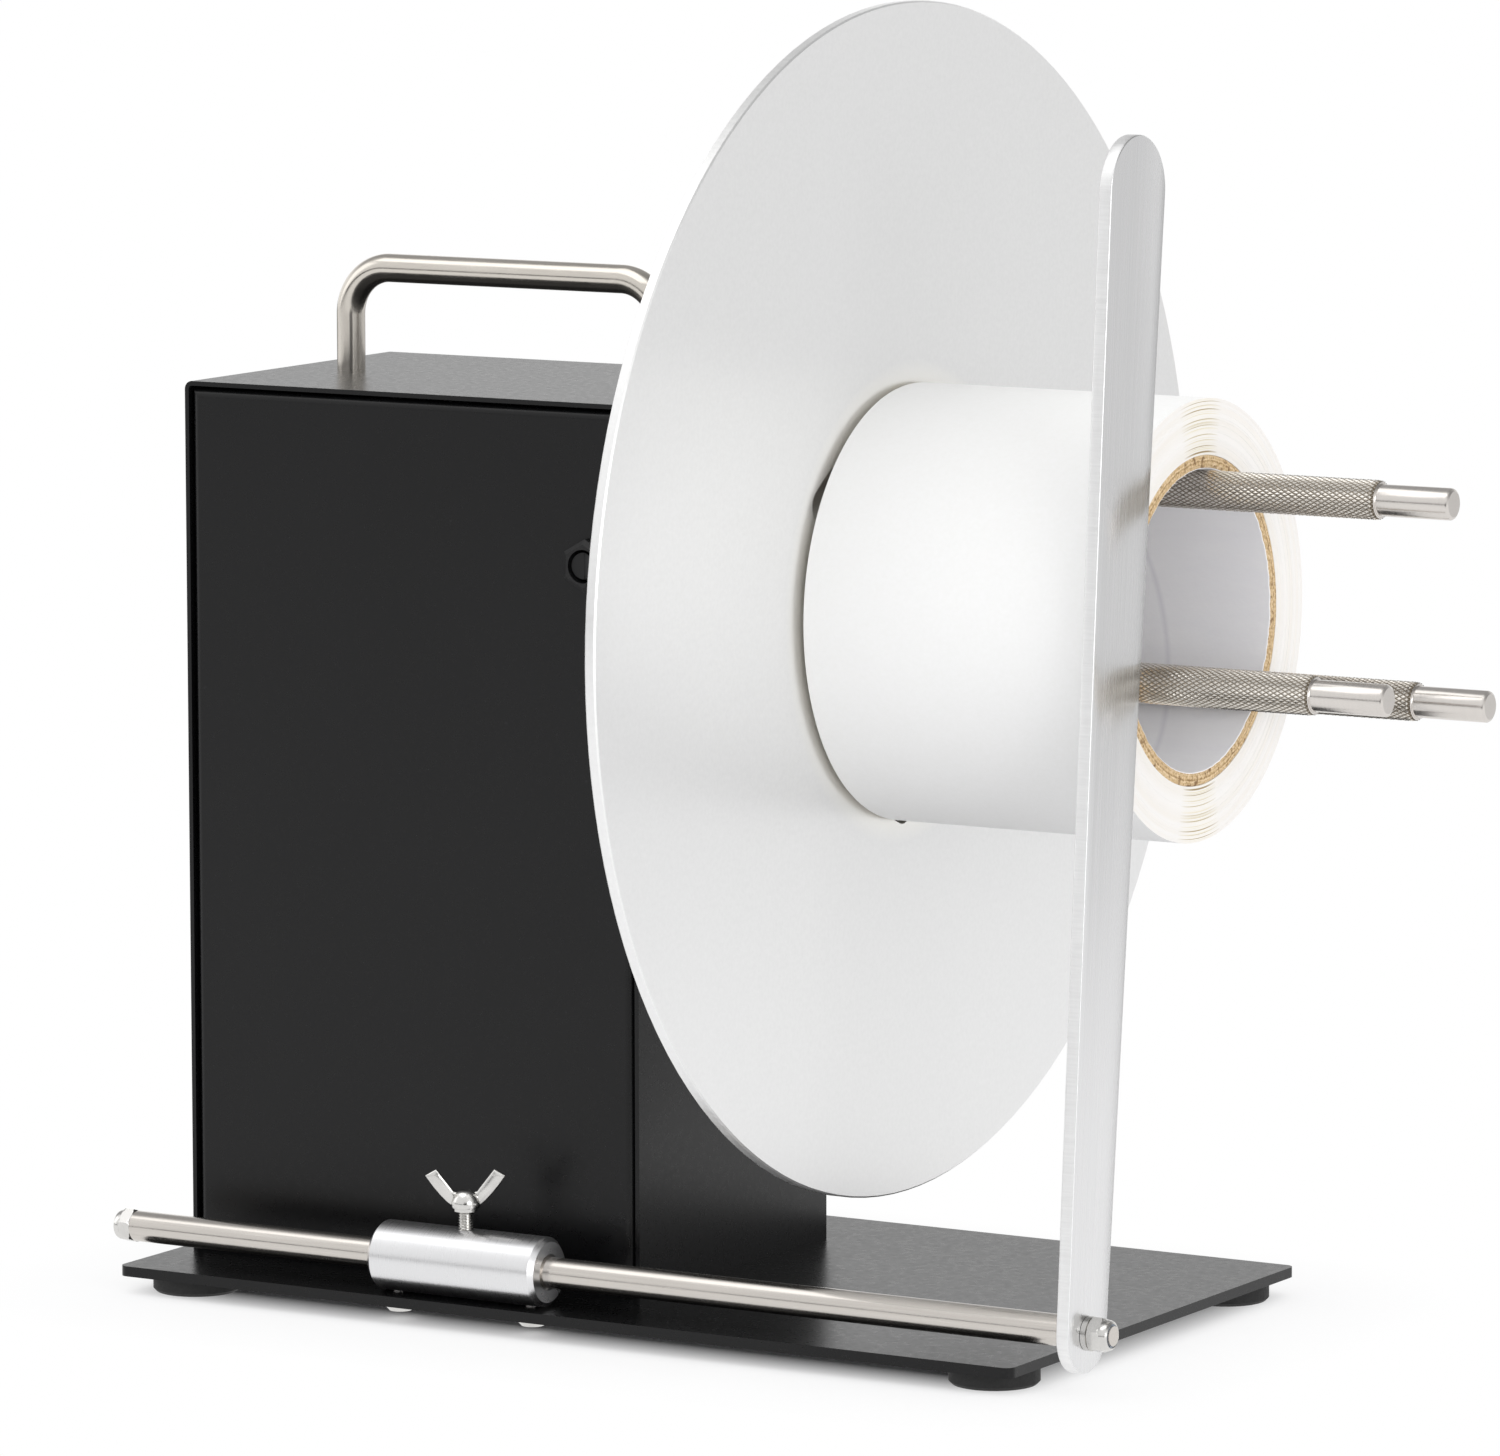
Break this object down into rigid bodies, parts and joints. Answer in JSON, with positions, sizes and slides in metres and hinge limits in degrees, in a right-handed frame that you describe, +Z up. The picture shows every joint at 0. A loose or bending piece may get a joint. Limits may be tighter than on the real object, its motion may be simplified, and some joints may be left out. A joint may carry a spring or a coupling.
{
  "type": "label rewinder",
  "caption": "Tabletop label rewinder with a motor box, a flange disc with three knurled core posts, a label roll and a swinging guide arm.",
  "frame": {"origin": "middle of the bounding box in width and depth, on the surface that the feet stand on", "axes": "+X along the spindle from the motor box to the post tips, +Y towards the back, +Z up"},
  "size_m": [0.35, 0.3048, 0.3374],
  "materials": {
    "black_coat": "fine black powder coat",
    "foot_rubber": "matt black rubber",
    "zinc_steel": "bright plated steel",
    "polished_bar": "polished bright bar",
    "ground_steel": "ground steel",
    "motor_steel": "plain drawn steel",
    "cast_alloy": "as-cast alloy",
    "set_screw_steel": "black oxide",
    "satin_aluminium": "satin brushed aluminium",
    "knurled_steel": "knurled stainless steel",
    "board_laminate": "green board laminate",
    "black_plastic": "satin black plastic",
    "core_board": "wound cardboard",
    "label_paper": "matt white label paper"
  },
  "bodies": {
    "base": {"base_plate": "black_coat", "housing_shell": "black_coat", "front_panel": "black_coat", "rear_panel": "black_coat", "drive_bracket": "black_coat", "rubber_feet": "foot_rubber", "housing_screws": "zinc_steel", "handle_screws": "zinc_steel", "bearing_screws": "zinc_steel", "bearing_nuts": "zinc_steel", "gearbox_screws": "zinc_steel", "bracket_screws": "zinc_steel", "board_standoffs": "zinc_steel", "board_screws": "zinc_steel", "jack_nut": "zinc_steel", "clamp_screws": "zinc_steel", "carry_handle": "polished_bar", "spindle_bearings": "ground_steel", "drive_motor": "motor_steel", "gearbox": "cast_alloy", "bearing_housing": "satin_aluminium", "rod_clamp": "satin_aluminium", "control_board": "board_laminate", "power_jack": "black_plastic", "switch_body": "black_plastic"},
    "winder": {"output_shaft": "ground_steel", "shaft_coupling": "satin_aluminium", "spindle": "ground_steel", "jaw_hub": "satin_aluminium", "set_screws": "set_screw_steel", "disc_retainer": "zinc_steel", "retainer_screw": "zinc_steel", "roll_core": "core_board", "label_roll": "label_paper"},
    "disc": {"flange_disc": "satin_aluminium"},
    "rod": {"guide_rod": "polished_bar", "rod_end_nut": "zinc_steel", "arm_washer": "zinc_steel", "arm_nut": "zinc_steel"},
    "arm": {"guide_arm": "satin_aluminium"},
    "wing": {"wing_screw": "zinc_steel"},
    "rocker": {"switch_rocker": "black_plastic"},
    "post_1": {"core_post_1": "knurled_steel", "post_washer_1": "zinc_steel", "post_nut_1": "zinc_steel"},
    "post_2": {"core_post_2": "knurled_steel", "post_washer_2": "zinc_steel", "post_nut_2": "zinc_steel"},
    "post_3": {"core_post_3": "knurled_steel", "post_washer_3": "zinc_steel", "post_nut_3": "zinc_steel"}
  },
  "joints": [
    {"name": "winder_spin", "type": "hinge", "parent": "base", "child": "winder", "pos_m": [0.02305, 0, 0.185], "axis": [1, 0, 0], "continuous": true},
    {"name": "disc_turn", "type": "hinge", "parent": "winder", "child": "disc", "pos_m": [0.02305, 0, 0.185], "axis": [1, 0, 0], "range_deg": [0, 37]},
    {"name": "post_1_slide", "type": "slide", "parent": "winder", "child": "post_1", "axis": [0, 0.1392, 0.9903], "range_m": [-0.01121, 0]},
    {"name": "post_2_slide", "type": "slide", "parent": "winder", "child": "post_2", "axis": [0, -0.9272, -0.3746], "range_m": [-0.01121, 0]},
    {"name": "post_3_slide", "type": "slide", "parent": "winder", "child": "post_3", "axis": [0, 0.788, -0.6157], "range_m": [-0.01121, 0]},
    {"name": "rod_slide", "type": "slide", "parent": "base", "child": "rod", "axis": [1, 0, 0], "range_m": [-0.0018, 0.075]},
    {"name": "arm_swing", "type": "hinge", "parent": "rod", "child": "arm", "pos_m": [0.10935, -0.0687, 0.0164], "axis": [1, 0, 0], "range_deg": [0, 95]},
    {"name": "wing_screw_turn", "type": "hinge", "parent": "base", "child": "wing", "pos_m": [-0.06785, -0.0687, 0.0298], "axis": [0, 0, 1], "range_deg": [0, 360]},
    {"name": "rocker_tilt", "type": "hinge", "parent": "base", "child": "rocker", "pos_m": [-0.04365, -0.0457, 0.195], "axis": [0, 0, 1], "range_deg": [0, 16]}
  ],
  "couplings": [
    {"joint": "post_1_slide", "follows": "disc_turn", "m_per_rad": -0.017361},
    {"joint": "post_2_slide", "follows": "disc_turn", "m_per_rad": -0.017361},
    {"joint": "post_3_slide", "follows": "disc_turn", "m_per_rad": -0.017361}
  ]
}
